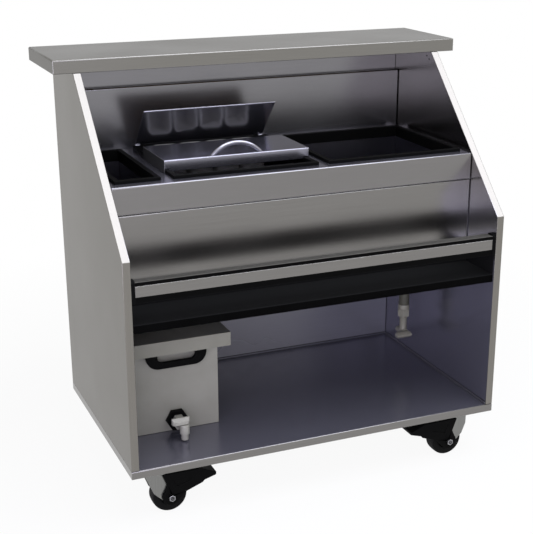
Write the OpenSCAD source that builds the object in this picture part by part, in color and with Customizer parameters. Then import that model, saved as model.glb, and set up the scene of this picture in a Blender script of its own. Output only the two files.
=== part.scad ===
// Mobile bar unit: a stainless steel cabinet on four casters, with a bar top for the guests,
// a work deck with three wells, a speed rail for bottles and a waste tank in the open base.
// Lengths are in millimetres. X runs to the bartender's right, Y to the guests, Z up.
// The origin is on the floor, under the middle of the unit.

/* [Body] */
// Width over the two side panels
body_w = 1113; // [920:1:1400]
// Depth of the side panels
body_d = 652; // [620:1:800]
// Height of the side panels
body_h = 1011; // [960:1:1200]
// Thickness of a side panel
side_t = 21.5; // [15:0.5:30]
// Height of the upright part of a side panel's front edge
knee_h = 601; // [580:1:660]
// How far the slanted front edge runs back at the top
slant_d = 406; // [330:1:460]
// Height of the base
base_h = 23; // [20:1:40]
// Thickness of the folded sheet
sheet_t = 1.5; // [1:0.1:2.5]
// Outer radius of the folds
bend_r = 4; // [3:0.5:8]
// Thickness of the panel on the guests' side
guest_t = 10; // [6:1:12]
// Thickness of the lower back panel
low_back_t = 6; // [3:1:8]

/* [Bar top] */
// How far the bar top overhangs each side panel
top_over = 53; // [20:1:120]
// How far the bar top overhangs on the guests' side
top_back = 58; // [20:1:120]
// Thickness of the bar top
top_t = 37; // [28:1:60]

/* [Work deck] */
// Height of the work deck over the underside of the base
deck_h = 754; // [740:1:800]
// Height of the apron under the deck's front edge
apron_h = 74; // [50:1:100]
// Distance from the back of the body to the splash panel
splash_in = 46.5; // [40:0.5:70]
// Height of the splash panel over the deck
splash_h = 179; // [175:1:220]
// Depth of the ledge on top of the splash panel
ledge_d = 22; // [14:1:24]

/* [Wells] */
// Width of the narrow left well over its rim
well_w = 126; // [90:1:140]
// Distance from the side panels to the outer rims
well_margin = 18.5; // [10:0.5:40]
// Distance from the deck's front edge to the rims
rim_front = 34; // [26:1:60]
// Distance from the rims to the splash panel
rim_rear = 38; // [26:1:60]
// Width of a rim
rim_w = 14; // [11:0.5:18]
// Height of a rim over the deck
rim_h = 9; // [6:0.5:12]
// How far a rim's skirt reaches under the deck
skirt_h = 23; // [14:1:60]
// Depth of the tubs under the deck
tub_h = 252; // [200:1:262]
// Gap between the left well and the middle bin
well_gap = 35; // [25:1:45]
// Gap between the two bins
bin_gap = 30; // [22:1:40]

/* [Condiment holder] */
// Depth of the holder
holder_d = 152; // [145:1:158]
// Height of the holder's frame
holder_h = 7; // [6:0.5:10]
// Number of pans
pan_count = 4; // [2:1:4]
// Width of a pan
pan_w = 66.5; // [50:0.5:70]
// Depth of a pan
pan_h = 100; // [60:1:140]
// Length of the lid from the hinge to its free edge
lid_l = 157; // [150:1:165]
// How far the lid stands open
lid_open = 47.6; // [40:0.1:60]

/* [Ice cover] */
// How far the sliding cover reaches back over the condiment holder
cover_lap = 40; // [20:1:60]
// Height of the sliding cover
cover_h = 34; // [28:1:38]
// Distance from the bin's rim to the cover's front, as it stands
cover_back = 75; // [65:1:82]
// Distance between the feet of the cover's handle
handle_span = 138; // [110:1:180]
// Height of the bow handle
handle_rise = 36; // [30:1:45]
// Diameter of the handle's rod
handle_dia = 12.5; // [8:0.5:14]

/* [Speed rail] */
// Height of the rail bar's underside over the underside of the base
bar_z = 490; // [485:1:500]
// Height of the rail bar
bar_h = 56; // [50:1:64]
// Depth of the rail bar
bar_d = 32; // [26:1:40]
// Height of the bright strip on the rail bar
strip_h = 29.5; // [20:0.5:36]
// Height of the bottle tray's floor over the underside of the base
tray_z = 430; // [415:1:440]
// Height of the tray's folded front edge
tray_lip = 23; // [12:1:30]
// Distance from the front of the unit to the tray
tray_y = 7; // [2:1:16]

/* [Waste tank] */
// Width of the tank's body
tank_w = 256; // [200:1:330]
// Depth of the tank's body
tank_d = 330; // [240:1:380]
// Height of the tank's body
tank_h = 280; // [240:1:320]
// Gap between the side panel and the tank's lid
tank_gap = 11; // [4:1:60]
// Distance from the front of the unit to the tank
tank_y = 200; // [180:1:230]
// How far the tank's lid overhangs the body
tank_over = 30; // [24:1:32]
// Height of the lid's skirt
tank_lid_h = 40; // [30:1:50]
// Height of the tap over the tank's bottom
tank_tap_h = 35.5; // [35.5:0.5:60]

/* [Drain] */
// Distance from the unit's middle to the drain pipe
drain_x = 456; // [430:1:470]
// Distance from the front of the unit to the drain pipe
drain_y = 376; // [330:1:420]
// Outside diameter of the drain pipe
pipe_dia = 33; // [28:1:36]
// Height of the pipe's lower end over the underside of the base
pipe_z = 229; // [190:1:280]

/* [Casters] */
// Height of the underside of the base over the floor
ride_h = 146; // [142:1:168]
// Diameter of a wheel
wheel_dia = 100; // [82:1:102]
// Width of a wheel
wheel_w = 40; // [30:1:44]
// Distance from the side panels' outside to the swivel axis
caster_in = 86.5; // [80:0.5:130]
// Distance from the front and back of the body to the swivel axis
caster_y = 73; // [70:1:110]
// How far a wheel trails behind its swivel axis
trail = 32.5; // [28:0.5:36]

/* [Hidden] */
$fn = 96;

// Overrun of every cut
over = 1;
// Play between pieces that slide or lift past each other
play = 0.3;
// Radial play of a turning fit
turn_play = 0.08;
// Play of a pushed-in or screwed-in round piece
seat_play = 0.05;

// Length of the bar top, and depth over everything, from the front edges to the back of the bar top
top_l = body_w + 2 * top_over;
unit_d = body_d + top_back;
// Half the width between the side panels
half_in = body_w / 2 - side_t;
// Places of the back panels' front faces
guest_y = body_d - guest_t;
splash_y = body_d - splash_in;
low_back_y = guest_y - low_back_t;
up_back_y = splash_y + ledge_d;
// Front edge of the deck, on the slant of the side panels
deck_y = slant_d * (deck_h - knee_h) / (body_h - knee_h);
apron_z = deck_h - apron_h;
// Shadow gap between the apron and the panel below it
apron_gap = 2;
// Foam under the tubs and underside of the insulated bins
foam_t = 30;
bin_z = deck_h - tub_h - foam_t;
// Space between the front panel and the insulation
foam_gap = 6;
// Thickness of the bar top's skin and radius of its upper edges
top_skin = 1.5;
top_r = 4;
// Rise of the side panels' slanted edge over its run, and its length over its run
slope = (body_h - knee_h) / slant_d;
stretch = sqrt(1 + slope * slope);
// Gap between the side panels and the ends of the splash, the apron and the panel below it
end_gap = 2.5;
// Height of the folded-up edge round the base floor
upstand_h = 7;
// Width and wall of the two rails under the base floor
rail_w = 110;
rail_t = 3;

// Wells, from left to right: [left edge, width]
well_x = well_margin - half_in;
bin_w = half_in - well_margin - (well_w + well_gap + bin_gap) / 2;
mid_x = well_x + well_w + well_gap;
right_x = mid_x + bin_w + bin_gap;
wells = [[well_x, well_w], [mid_x, bin_w], [right_x, bin_w]];
rim_y = deck_y + rim_front;
rim_back = splash_y - rim_rear;
// How far a rim rests on the deck, outside the cut-out
rim_seat = 8;
tub_t = 1.2;

// Condiment holder, at the back of the middle bin
holder_y = rim_back - holder_d;
holder_in = 2;
holder_z = deck_h + rim_h;
pan_gap = 14;
pan_rear = 18;
pan_t = 2;
pan_r = 15;
pan_lip = 3;
pan_lip_t = 1.5;
pan_front = 8;
pan_y = holder_y + pan_front;
pan_back = rim_back - rim_w - pan_rear;

// Lid and its hinge, which turns on a short pin at each end; the lid stands a little to the left
hinge_in = 4.5;
hinge_y = rim_back - hinge_in;
hinge_up = 6;
hinge_z = holder_z + hinge_up;
pin_dia = 4;
knuckle_dia = 8;
knuckle_l = 14;
lid_in = 6;
lid_in_right = 16;
lid_t = 1.5;
lid_lift = 3.4;
lid_hem = 4;
lid_w = bin_w - lid_in - lid_in_right;
lid_c = mid_x + lid_in + lid_w / 2;
pan_x0 = lid_c - (pan_count * pan_w + (pan_count - 1) * pan_gap) / 2;
// Where the lid's knuckles start and end along the hinge, and the holder's, inboard of them
lid_knuckles = [[-lid_w / 2, knuckle_l - lid_w / 2], [lid_w / 2 - knuckle_l, lid_w / 2]];
holder_knuckles = [[2 * knuckle_l - lid_w / 2, knuckle_l + play - lid_w / 2],
    [lid_w / 2 - 2 * knuckle_l, lid_w / 2 - knuckle_l - play]];

// Ice cover
cover_x = mid_x - play - sheet_t;
cover_w = bin_w + 2 * (play + sheet_t);
cover_y = rim_y + cover_back;
cover_d = holder_y + cover_lap - cover_y;
cover_r = 3;
cover_top = deck_h + play + cover_h;
cover_gap = 4;
mid_c = mid_x + bin_w / 2;
notch_play = 1;
handle_in = 13;
handle_y = cover_y + handle_in;
bow_h = handle_rise - handle_dia / 2;
bow_r = (pow(handle_span / 2, 2) + bow_h * bow_h) / (2 * bow_h);
// Half the bow's arc; it runs on below the cover's top and is cut off there
bow_run = 7;
bow_angle = asin(handle_span / 2 / bow_r) + bow_run;

// Speed rail
cap_t = 10;
cap_up = 5;
cap_r = 10;
bar_wall = 3;
bar_y = 2;
bar_lip = 16;
strip_t = 1.5;
rib_count = 4;
rib_dia = 5;
rib_h = 1.5;
tray_t = 1.5;
tray_back_h = 74;
panel_in = 1;
tray_back = deck_y + panel_in;

// Waste tank
tank_t = 4;
tank_lid_t = 4;
tank_rim_t = 4;
tank_z = base_h + play;
tank_top = tank_z + tank_h;
tank_rim = tank_over - tank_t - 2 * play;
tank_cx = tank_gap + tank_over + tank_w / 2 - half_in;
grip_w = 175;
grip_off = 12;
grip_t = 12;
grip_bar = 18.5;
grip_leg = 32;
grip_r = 36;
grip_in_r = 16;
grip_drop = 78.5;

// Bulkhead fitting of the tank's tap
nut_af = 57;
nut_t = 15;
gasket_t = 2;
sleeve_dia = 40;
flange_dia = 54;
flange_t = 5;
tap_z = tank_z + tank_tap_h;

// Tap: hexagon, cone and neck along its inlet, body and spout across it
tap_hex_af = 35;
tap_hex_l = 22;
tap_cone_l = 8;
tap_cone_dia = 34;
tap_neck_dia = 23;
tank_reach = 58;
drain_reach = 78;
tap_body_dia = 27;
tap_body_up = 15;
tap_body_down = 14;
spout_dia = 20;
spout_down = 31.5;
tap_bore = 10;
spout_bore = 11;
shank_dia = 20;
shank_l = 24;
lever_w = 51;
lever_short = 14;
lever_d = 20;
lever_h = 19;
lever_r = 9;
lever_side = 9;
lever_ridge = 5;
lever_gap = 2;
stem_dia = 12;
stem_l = 13;

// Drain
pipe_bore = 27;
bush_l = 16;
bush_dia = 36;
bush_in = 15;

// Casters, measured from the swivel axis: u runs inboard, v to the unit's middle, z from the base down
plate_l = 100;
plate_d = 86;
plate_t = 4;
race_dia = 60;
race_h = 12;
bolt_dia = 8;
bolt_head_af = 13;
bolt_head_h = 5;
bolt_l = 12;
bolt_u = 40;
bolt_v = 33;
kingpin_dia = 12;
king_head_dia = 22;
king_head_h = 3;
race_gap = 0.6;
crown_z = -plate_t - race_h - race_gap;
crown_t = 5;
king_z = crown_z - crown_t - play - king_head_h;
crown_r = 38;
axle_z = wheel_dia / 2 - ride_h;
axle_dia = 10;
axle_nut_af = 17;
axle_nut_t = 8;
axle_end = 2;
leg_play = 3;
leg_t = 4;
leg_in = wheel_w / 2 + leg_play;
leg_out = leg_in + leg_t;
leg_top = sqrt(crown_r * crown_r - leg_out * leg_out);
boss_r = 24;
leg_knee_up = 46;
leg_knee_z = axle_z + leg_knee_up;
leg_low = 15;
leg_low_up = 16;
leg_low_z = axle_z + leg_low_up;
leg_lean = 22;
// The legs' wings, which follow the crown's rim: where they end and how far down
wing_v = 15;
wing_drop = 5;
wing_z = crown_z - crown_t - wing_drop;
brake_play = 1;
brake_t = 8;
brake_in = leg_out + brake_play;
brake_out = brake_in + brake_t;
brake_r = 24.5;
brake_gap = 2.4;
brake_top = crown_z - crown_t - brake_gap - axle_z;
// Outlines of a brake cheek and of the tread across both cheeks, as u and z from the axle
brake_side = [[-24, brake_top], [-10, 35], [-17, 18], [0, 0], [20, -14], [44, 10], [91, 27.5], [96, 33.5],
    [84, brake_top]];
brake_tread = [[60, 61], [96, 33.5], [131, 44], [131, 52], [84, brake_top], [60, brake_top]];
tyre_r = 6;
hub_dia = 54;
hub_boss_dia = 26;
hub_recess = 5;
// Corners, from the front left to the back right: [side, end], -1 on the left and in front
casters = [[-1, -1], [1, -1], [-1, 1], [1, 1]];

steel = "#b4b2ae";
dark_steel = "#8f8d8b";
black = "#1b1b1c";
white = "#d6d4ce";
pale_grey = "#b9b7b0";
foam = "#e6d9a8";
board = "#c2a071";

// Places pieces drawn from the front plane and the underside of the base in the part's frame
module unit() {
    translate([0, -unit_d / 2, ride_h]) children();
}

// A block given by its range along each axis
module block(x, y, z) {
    translate([x[0], y[0], z[0]]) cube([x[1] - x[0], y[1] - y[0], z[1] - z[0]]);
}

// A profile drawn in Y and Z, carried along X
module along_x(x) {
    translate([x[0], 0, 0]) rotate([90, 0, 90]) linear_extrude(x[1] - x[0]) children();
}

// A profile drawn in X and Z, carried along Y
module along_y(y) {
    translate([0, y[1], 0]) rotate([90, 0, 0]) linear_extrude(y[1] - y[0]) children();
}

// A flat rectangle given by its range along each axis
module flat(a, b) {
    translate([a[0], b[0]]) square([a[1] - a[0], b[1] - b[0]]);
}

// A flat rectangle with all four corners rounded
module rounded_flat(a, b, r) {
    flat([a[0] + r, a[1] - r], b);
    flat(a, [b[0] + r, b[1] - r]);
    for (p = [a[0] + r, a[1] - r], q = [b[0] + r, b[1] - r])
        translate([p, q]) circle(r);
}

// A flat rectangle with its two upper corners rounded
module round_top(a, b, r) {
    flat(a, [b[0], b[1] - r]);
    flat([a[0] + r, a[1] - r], b);
    for (p = [a[0] + r, a[1] - r])
        translate([p, b[1] - r]) circle(r);
}

// A flat rectangle with its two lower corners rounded
module round_foot(a, b, r) {
    flat(a, [b[0] + r, b[1]]);
    flat([a[0] + r, a[1] - r], b);
    for (p = [a[0] + r, a[1] - r])
        translate([p, b[0] + r]) circle(r);
}

// A quarter ring for a fold that turns from the front to the top, with its centre at y, z
module fold(y, z, r, t) {
    intersection() {
        difference() {
            translate([y, z]) circle(r);
            translate([y, z]) circle(r - t);
        }
        flat([y - r, y], [z, z + r]);
    }
}

// A cylinder along Y from y0 to y1
module rod_y(x, z, y0, y1, dia) {
    translate([x, y1, z]) rotate([90, 0, 0]) cylinder(h = y1 - y0, d = dia);
}

// A cylinder along X from x0 to x1
module rod_x(y, z, x0, x1, dia) {
    translate([x0, y, z]) rotate([0, 90, 0]) cylinder(h = x1 - x0, d = dia);
}

// Circle through the corners of a hexagon of the given width over its flats
function hex_dia(af) = af / cos(30);

// The folded steel skin of the bar top, open underneath
module bar_top() {
    x = [-top_l / 2, top_l / 2];
    y = [slant_d, unit_d];
    z = [body_h, body_h + top_t];
    color(steel) unit() difference() {
        intersection() {
            along_x(x) round_top(y, z, top_r);
            along_y(y) round_top(x, z, top_r);
        }
        block([x[0] + top_skin, x[1] - top_skin], [y[0] + top_skin, y[1] - top_skin],
            [z[0] - over, z[1] - top_skin]);
    }
}

// The board that fills the bar top and rests on the side panels
module bar_top_core() {
    x = top_l / 2 - top_skin;
    color(board) unit() block([-x, x], [slant_d + top_skin, unit_d - top_skin],
        [body_h, body_h + top_t - top_skin]);
}

// A side panel with its slanted front edge, a box of sheet that stands open on the base;
// side is -1 on the left and 1 on the right
module side_panel(side) {
    x = side < 0 ? [-body_w / 2, -half_in] : [half_in, body_w / 2];
    t = sheet_t;
    color(steel) unit() difference() {
        along_x(x)
            polygon([[0, base_h], [body_d, base_h], [body_d, body_h], [slant_d, body_h], [0, knee_h]]);
        along_x([x[0] + t, x[1] - t])
            polygon([[t, base_h - over], [body_d - t, base_h - over], [body_d - t, body_h - t],
                [slant_d + t * (stretch - 1) / slope, body_h - t], [t, knee_h + t * (slope - stretch)]]);
    }
}

module left_side_panel() side_panel(-1);
module right_side_panel() side_panel(1);

// A shallow tray of sheet with its floor to the front or, with front false, to the guests
module tray_panel(x, y, z, front) {
    t = sheet_t;
    difference() {
        block(x, y, z);
        block([x[0] + t, x[1] - t], front ? [y[0] + t, y[1] + over] : [y[0] - over, y[1] - t],
            [z[0] + t, z[1] - t]);
    }
}

// The panel that faces the guests
module guest_panel() {
    color(steel) unit() tray_panel([-half_in, half_in], [guest_y, body_d], [base_h, body_h], false);
}

// The back of the work space, from the deck to the bar top
module upper_back_panel() {
    color(steel) unit() tray_panel([-half_in, half_in], [up_back_y, guest_y], [deck_h, body_h], true);
}

// The back of the open base
module lower_back_panel() {
    color(steel) unit()
        tray_panel([-half_in, half_in], [low_back_y, guest_y], [base_h, deck_h - sheet_t], true);
}

// Outline of the base's sides, which follows the fold at the upper front edge
module base_side() {
    flat([0, body_d], [0, base_h - bend_r]);
    flat([bend_r, body_d], [0, base_h]);
    translate([bend_r, base_h - bend_r]) circle(bend_r);
}

// The base: a tray turned over, with a folded front edge, that the panels stand on,
// and a low upstand on three sides of the floor between them
module base_pan() {
    x = [-body_w / 2, body_w / 2];
    z = [base_h - sheet_t, base_h + upstand_h];
    color(steel) unit() {
        along_x(x) {
            flat([bend_r, body_d], [base_h - sheet_t, base_h]);
            flat([0, sheet_t], [0, base_h - bend_r]);
            fold(bend_r, base_h - bend_r, bend_r, sheet_t);
            flat([body_d - sheet_t, body_d], [0, base_h]);
        }
        for (p = [x[0], x[1] - sheet_t])
            along_x([p, p + sheet_t]) base_side();
        for (p = [-half_in, half_in - sheet_t])
            block([p, p + sheet_t], [bend_r, low_back_y], z);
        block([-half_in, half_in], [low_back_y - sheet_t, low_back_y], z);
    }
}

// Two rails under the base floor, which the casters are bolted to
module base_rails() {
    z = [0, base_h - sheet_t];
    color(dark_steel) unit() for (side = [-1, 1]) difference() {
        c = side * (body_w / 2 - caster_in);
        block([c - rail_w / 2, c + rail_w / 2], [bend_r, guest_y], z);
        block([c - rail_w / 2 + rail_t, c + rail_w / 2 - rail_t], [0, body_d],
            [rail_t, z[1] + over]);
        for (end = [caster_y, body_d - caster_y], u = [-bolt_u, bolt_u], v = [-bolt_v, bolt_v])
            translate([c + u, end + v, -over]) cylinder(h = rail_t + 2 * over, d = bolt_dia);
    }
}

// The deck with its apron and the three cut-outs for the wells
module work_deck() {
    color(steel) unit() difference() {
        union() {
            along_x([-half_in, half_in])
                flat([deck_y + bend_r, up_back_y], [deck_h - sheet_t, deck_h]);
            along_x([end_gap - half_in, half_in - end_gap]) {
                flat([deck_y, deck_y + sheet_t], [apron_z, deck_h - bend_r]);
                fold(deck_y + bend_r, deck_h - bend_r, bend_r, sheet_t);
            }
        }
        for (w = wells)
            block([w[0] + rim_seat, w[0] + w[1] - rim_seat], [rim_y + rim_seat, rim_back - rim_seat],
                [deck_h - sheet_t - over, deck_h + over]);
    }
}

// The splash panel behind the deck, folded back into a ledge
module splash_panel() {
    top = deck_h + splash_h;
    color(steel) unit() along_x([end_gap - half_in, half_in - end_gap]) {
        flat([splash_y, splash_y + sheet_t], [deck_h, top - bend_r]);
        fold(splash_y + bend_r, top - bend_r, bend_r, sheet_t);
        flat([splash_y + bend_r, up_back_y], [top - sheet_t, top]);
    }
}

// The panel below the apron, with its folded top edge; it carries the bottle tray
module bin_front_panel() {
    top = apron_z - apron_gap;
    y = tray_back;
    color(steel) unit() along_x([end_gap - half_in, half_in - end_gap]) {
        flat([y, y + sheet_t], [tray_z - tray_lip, top - bend_r]);
        fold(y + bend_r, top - bend_r, bend_r, sheet_t);
    }
}

// The closed underside of the insulated bins
module bin_bottom_panel() {
    color(steel) unit() difference() {
        block([-half_in, half_in], [tray_back + sheet_t, low_back_y], [bin_z - sheet_t, bin_z]);
        translate([drain_x, drain_y, bin_z - sheet_t - over])
            cylinder(h = sheet_t + 2 * over, d = pipe_dia + 2 * play);
    }
}

// Foam that fills the space round the tubs
module bin_insulation() {
    color(foam) unit() difference() {
        block([-half_in, half_in], [deck_y + foam_gap, low_back_y], [bin_z, deck_h - sheet_t]);
        for (w = wells)
            block([w[0] + rim_seat, w[0] + w[1] - rim_seat], [rim_y + rim_seat, rim_back - rim_seat],
                [deck_h - tub_h, deck_h]);
        translate([drain_x, drain_y, bin_z - over])
            cylinder(h = deck_h - bin_z, d = pipe_dia + 2 * play);
    }
}

// A raised rim on the deck, with a skirt that lines the top of a well
module well_rim(w) {
    x = [w[0], w[0] + w[1]];
    color(black) unit() difference() {
        union() {
            block(x, [rim_y, rim_back], [deck_h, deck_h + rim_h]);
            block([x[0] + rim_seat, x[1] - rim_seat], [rim_y + rim_seat, rim_back - rim_seat],
                [deck_h - skirt_h, deck_h + over]);
        }
        block([x[0] + rim_w, x[1] - rim_w], [rim_y + rim_w, rim_back - rim_w],
            [deck_h - skirt_h - over, deck_h + rim_h + over]);
    }
}

module left_well_rim() well_rim(wells[0]);
module middle_bin_rim() well_rim(wells[1]);
module right_bin_rim() well_rim(wells[2]);

// A steel tub under a rim
module well_tub(w) {
    x = [w[0] + rim_seat, w[0] + w[1] - rim_seat];
    y = [rim_y + rim_seat, rim_back - rim_seat];
    z = [deck_h - tub_h, deck_h - skirt_h];
    color(steel) unit() difference() {
        block(x, y, z);
        block([x[0] + tub_t, x[1] - tub_t], [y[0] + tub_t, y[1] - tub_t], [z[0] + tub_t, z[1] + over]);
        translate([drain_x, drain_y, z[0] - over])
            cylinder(h = tub_t + 2 * over, d = pipe_dia + 2 * seat_play);
    }
}

module left_well_tub() well_tub(wells[0]);
module middle_bin_tub() well_tub(wells[1]);
module right_bin_tub() well_tub(wells[2]);

// Outline of pan number i, grown by the given amount
module pan_outline(i, grow) {
    x = pan_x0 + i * (pan_w + pan_gap);
    rounded_flat([x - grow, x + pan_w + grow], [pan_y - grow, pan_back + grow], pan_r + grow);
}

// A cylinder on the lid's hinge line, between the two places given
module hinge_rod(x, dia) {
    rod_x(0, 0, min(x), max(x), dia);
}

// The frame at the back of the middle bin, with its pan openings and hinge knuckles
module condiment_holder() {
    top = holder_z + holder_h;
    color(black) unit() difference() {
        union() {
            block([mid_x + holder_in, mid_x + bin_w - holder_in], [holder_y, rim_back], [holder_z, top]);
            for (k = holder_knuckles)
                translate([lid_c, hinge_y, hinge_z]) hinge_rod(k, knuckle_dia);
        }
        for (i = [0 : pan_count - 1])
            translate([0, 0, holder_z - over]) linear_extrude(holder_h + 2 * over) pan_outline(i, play);
        translate([lid_c, hinge_y, hinge_z]) {
            for (k = holder_knuckles)
                hinge_rod(k, pin_dia + 2 * seat_play);
            for (k = lid_knuckles)
                hinge_rod([k[0] - play, k[1] + play], knuckle_dia + 2 * play);
        }
    }
}

// The pans that hang by their lips in the holder
module condiment_pans() {
    top = holder_z + holder_h;
    color(pale_grey) unit() for (i = [0 : pan_count - 1]) difference() {
        union() {
            translate([0, 0, top - pan_h]) linear_extrude(pan_h) pan_outline(i, 0);
            translate([0, 0, top]) linear_extrude(pan_lip_t) pan_outline(i, pan_lip);
        }
        translate([0, 0, top - pan_h + pan_t]) linear_extrude(pan_h + over) pan_outline(i, -pan_t);
    }
}

// The hinged lid, drawn flat in front of its hinge line and turned up
module condiment_lid() {
    color(steel) unit() translate([lid_c, hinge_y, hinge_z]) rotate([-lid_open, 0, 0]) difference() {
        union() {
            block([-lid_w / 2, lid_w / 2], [-lid_l + lid_hem / 2, -knuckle_dia / 2 - play],
                [lid_lift - lid_t, lid_lift]);
            rod_x(-lid_l + lid_hem / 2, lid_lift - lid_t / 2, -lid_w / 2, lid_w / 2, lid_hem);
            for (k = lid_knuckles) {
                hinge_rod(k, knuckle_dia);
                block(k, [-knuckle_dia, 0], [lid_lift - lid_t, lid_lift]);
            }
        }
        rod_x(0, 0, -lid_w / 2 - over, lid_w / 2 + over, pin_dia + 2 * turn_play);
    }
}

// The two pins that the lid turns on
module lid_hinge_pin() {
    color(dark_steel) unit() translate([lid_c, hinge_y, hinge_z]) for (i = [0, 1])
        hinge_rod(concat(lid_knuckles[i], holder_knuckles[i]), pin_dia);
}

// The sliding cover: a tray turned over, open at the back, notched to ride over the bin's rim
module ice_cover() {
    x = [cover_x, cover_x + cover_w];
    y = [cover_y, cover_y + cover_d];
    z = [deck_h + play, cover_top];
    color(steel) unit() difference() {
        along_x(x) {
            flat(y, [z[0], z[1] - cover_r]);
            flat([y[0] + cover_r, y[1]], z);
            translate([y[0] + cover_r, z[1] - cover_r]) circle(cover_r);
        }
        along_x([x[0] + sheet_t, x[1] - sheet_t]) {
            flat([y[0] + sheet_t, y[1] + over], [z[0] - over, z[1] - cover_r]);
            flat([y[0] + cover_r, y[1] + over], [z[0] - over, z[1] - sheet_t]);
            translate([y[0] + cover_r, z[1] - cover_r]) circle(cover_r - sheet_t);
        }
        for (p = [mid_x, mid_x + bin_w - rim_w])
            block([p - play, p + rim_w + notch_play], [y[0] - over, y[0] + sheet_t + over],
                [z[0] - over, deck_h + rim_h + notch_play]);
        block([x[0] + sheet_t, x[1] - sheet_t], [y[0] - over, y[0] + sheet_t + over],
            [z[0] - over, deck_h + cover_gap]);
    }
}

// The bow handle on the cover, an arc of round rod
module ice_cover_handle() {
    color(steel) unit() translate([mid_c, handle_y, cover_top]) difference() {
        translate([0, 0, bow_h - bow_r]) rotate([90, 0, 0]) rotate([0, 0, 90 - bow_angle])
            rotate_extrude(angle = 2 * bow_angle) translate([bow_r, 0]) circle(d = handle_dia);
        block([-handle_span, handle_span], [-handle_dia, handle_dia], [-handle_span, 0]);
    }
}

// The rail bar: a hollow black section with a ribbed top and a seat for the bright strip
module rail_bar() {
    x = half_in - cap_t;
    y = [bar_y, bar_d];
    z = [bar_z, bar_z + bar_h];
    rib_step = bar_d / (rib_count + 1);
    color(black) unit() along_x([-x, x]) difference() {
        flat(y, z);
        flat([y[0] + 2 * bar_wall, y[1] - bar_wall], [z[0] + bar_wall, z[1] - 2 * bar_wall]);
        flat([0, y[0] + strip_t], [z[0] + bar_lip, z[0] + bar_lip + strip_h]);
        for (i = [1 : rib_count])
            translate([y[0] + i * rib_step, z[1] + rib_dia / 2 - rib_h]) circle(d = rib_dia);
    }
}

// The bright strip let into the front of the rail bar
module rail_strip() {
    x = half_in - cap_t;
    z = bar_z + bar_lip;
    color(steel) unit() block([-x, x], [bar_y, bar_y + strip_t], [z, z + strip_h]);
}

// The two moulded caps that hold the rail bar to the side panels
module rail_end_caps() {
    z = [bar_z, bar_z + bar_h + cap_up];
    color(black) unit() for (x = [[-half_in, cap_t - half_in], [half_in - cap_t, half_in]])
        along_x(x) {
            flat([0, bar_d], [z[0], z[1] - cap_r]);
            flat([cap_r, bar_d - cap_r], z);
            for (p = [cap_r, bar_d - cap_r])
                translate([p, z[1] - cap_r]) circle(cap_r);
        }
}

// The bottle tray behind the rail bar, with its back, ends and folded front edge
module bottle_tray() {
    y = [tray_y, tray_back];
    z = tray_z - tray_t;
    color(black) unit() {
        along_x([-half_in, half_in]) {
            flat([y[0], y[1]], [z, tray_z]);
            flat([y[0], y[0] + tray_t], [tray_z - tray_lip, tray_z]);
            flat([y[1] - tray_t, y[1]], [z, tray_z + tray_back_h]);
        }
        for (x = [[-half_in, tray_t - half_in], [half_in - tray_t, half_in]])
            block(x, y, [z, bar_z]);
    }
}

// The tank's body, open at the top under its lid, with an outward rim
module waste_tank() {
    x = [tank_cx - tank_w / 2, tank_cx + tank_w / 2];
    y = [tank_y, tank_y + tank_d];
    z = [tank_z, tank_top];
    color(pale_grey) unit() difference() {
        union() {
            block(x, y, z);
            block([x[0] - tank_rim, x[1] + tank_rim], [y[0] - tank_rim, y[1] + tank_rim],
                [z[1] - tank_rim_t, z[1]]);
        }
        block([x[0] + tank_t, x[1] - tank_t], [y[0] + tank_t, y[1] - tank_t], [z[0] + tank_t, z[1] + over]);
        rod_y(tank_cx, tap_z, y[0] - over, y[0] + tank_t + over, sleeve_dia + 2 * seat_play);
    }
}

// The loose lid of the tank
module tank_lid() {
    x = [tank_cx - tank_w / 2 - tank_over, tank_cx + tank_w / 2 + tank_over];
    y = [tank_y - tank_over, tank_y + tank_d + tank_over];
    z = [tank_top + play + tank_lid_t - tank_lid_h, tank_top + play + tank_lid_t];
    color(pale_grey) unit() difference() {
        block(x, y, z);
        block([x[0] + tank_lid_t, x[1] - tank_lid_t], [y[0] + tank_lid_t, y[1] - tank_lid_t],
            [z[0] - over, tank_top + play]);
    }
}

// The upright carrying handle in front of the tank, which hangs under the tank's rim
module tank_handle() {
    x = [tank_cx - grip_w / 2, tank_cx + grip_w / 2];
    y = [tank_y - grip_off - grip_t, tank_y - grip_off];
    z = [tank_top - grip_drop, tank_top - tank_rim_t];
    color(black) unit() along_y(y) difference() {
        round_foot(x, z, grip_r);
        round_foot([x[0] + grip_leg, x[1] - grip_leg], [z[0] + grip_bar, z[1] + over], grip_in_r);
    }
}

// The flanged sleeve through the tank's front wall
module tank_fitting() {
    y = [tank_y - gasket_t - nut_t, tank_y + tank_t];
    color(black) unit() difference() {
        union() {
            rod_y(tank_cx, tap_z, y[0], y[1] + flange_t, sleeve_dia);
            rod_y(tank_cx, tap_z, y[1], y[1] + flange_t, flange_dia);
        }
        rod_y(tank_cx, tap_z, y[0] - over, y[1] + flange_t + over, shank_dia + 2 * seat_play);
    }
}

// The hexagon nut that draws the fitting tight
module tank_fitting_nut() {
    y = tank_y - gasket_t;
    color(black) unit() difference() {
        translate([tank_cx, y, tap_z]) rotate([90, 0, 0])
            cylinder(h = nut_t, d = hex_dia(nut_af), $fn = 6);
        rod_y(tank_cx, tap_z, y - nut_t - over, y + over, sleeve_dia + 2 * seat_play);
    }
}

// The seal between the nut and the tank
module tank_gasket() {
    color(black) unit() difference() {
        rod_y(tank_cx, tap_z, tank_y - gasket_t, tank_y, flange_dia);
        rod_y(tank_cx, tap_z, tank_y - gasket_t - over, tank_y + over, sleeve_dia + 2 * seat_play);
    }
}

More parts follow.
